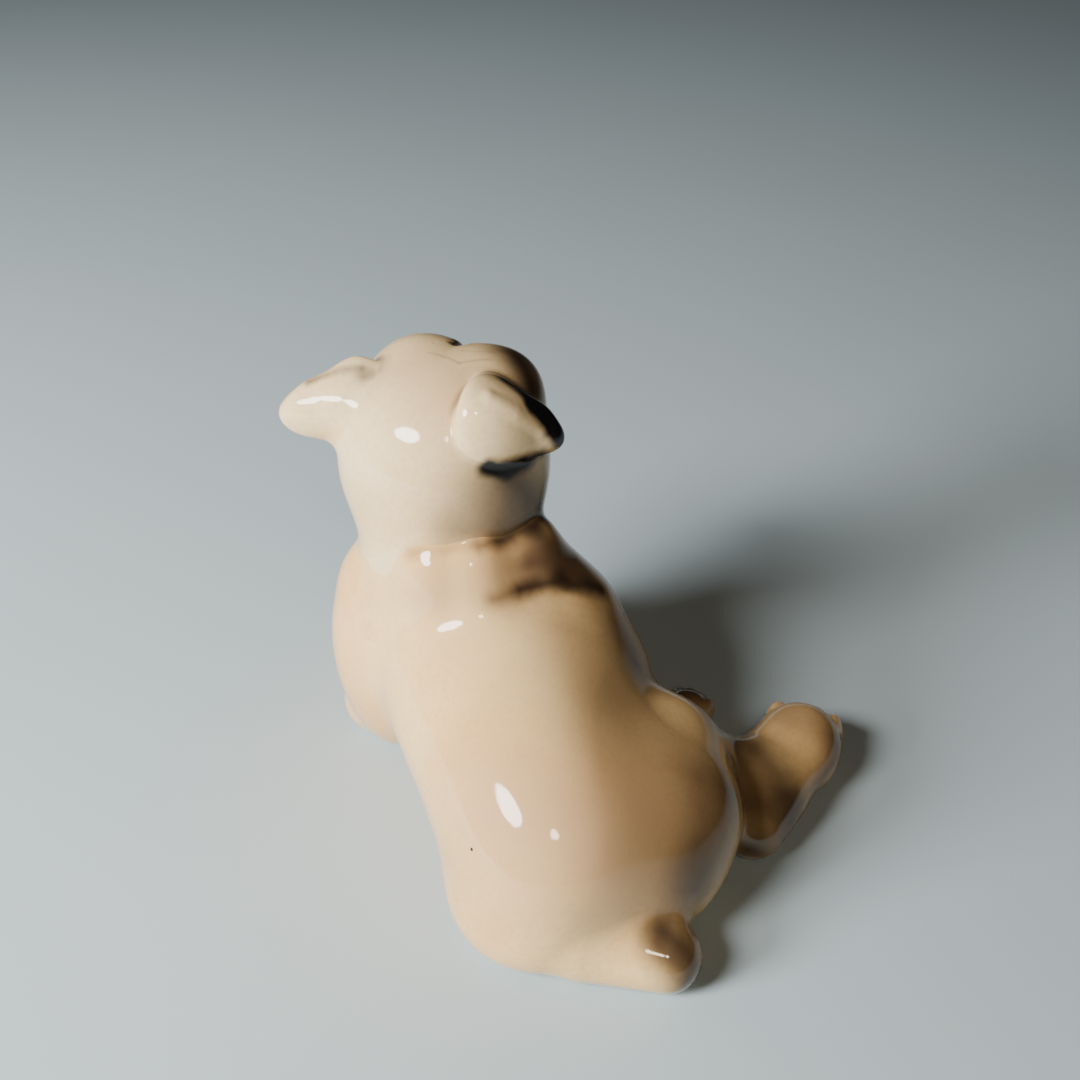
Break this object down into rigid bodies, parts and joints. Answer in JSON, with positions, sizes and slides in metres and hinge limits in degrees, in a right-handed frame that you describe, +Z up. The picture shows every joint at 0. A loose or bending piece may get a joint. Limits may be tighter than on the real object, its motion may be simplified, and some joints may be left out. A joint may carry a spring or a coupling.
{
  "type": "ceramic dog figurine",
  "caption": "Glazed porcelain figurine of a resting puppy with drop ears and a stub tail, hollow cast with a flat unglazed seat.",
  "frame": {"origin": "middle of the outline seen from above, on the surface the figurine stands on", "axes": "+Z up; the puppy's chest faces -Y, its left side is +X, its tail end +Y"},
  "size_m": [0.124, 0.12, 0.0974],
  "materials": {
    "fawn_glaze": "clear gloss glaze over sprayed fawn underglaze",
    "cream_glaze": "clear gloss glaze over cream body with black and brown shading",
    "biscuit": "unglazed fired slip, matt"
  },
  "bodies": {
    "root": {"body_casting": "fawn_glaze", "head_casting": "cream_glaze", "left_ear": "cream_glaze", "right_ear": "cream_glaze", "left_forearm": "fawn_glaze", "right_forearm": "fawn_glaze", "left_hind_foot": "fawn_glaze", "right_hind_foot": "fawn_glaze", "tail": "fawn_glaze", "neck_slip_ring": "biscuit", "left_ear_slip": "biscuit", "right_ear_slip": "biscuit", "left_forearm_slip": "biscuit", "right_forearm_slip": "biscuit", "left_hind_foot_slip": "biscuit", "right_hind_foot_slip": "biscuit", "tail_slip": "biscuit"}
  },
  "joints": []
}
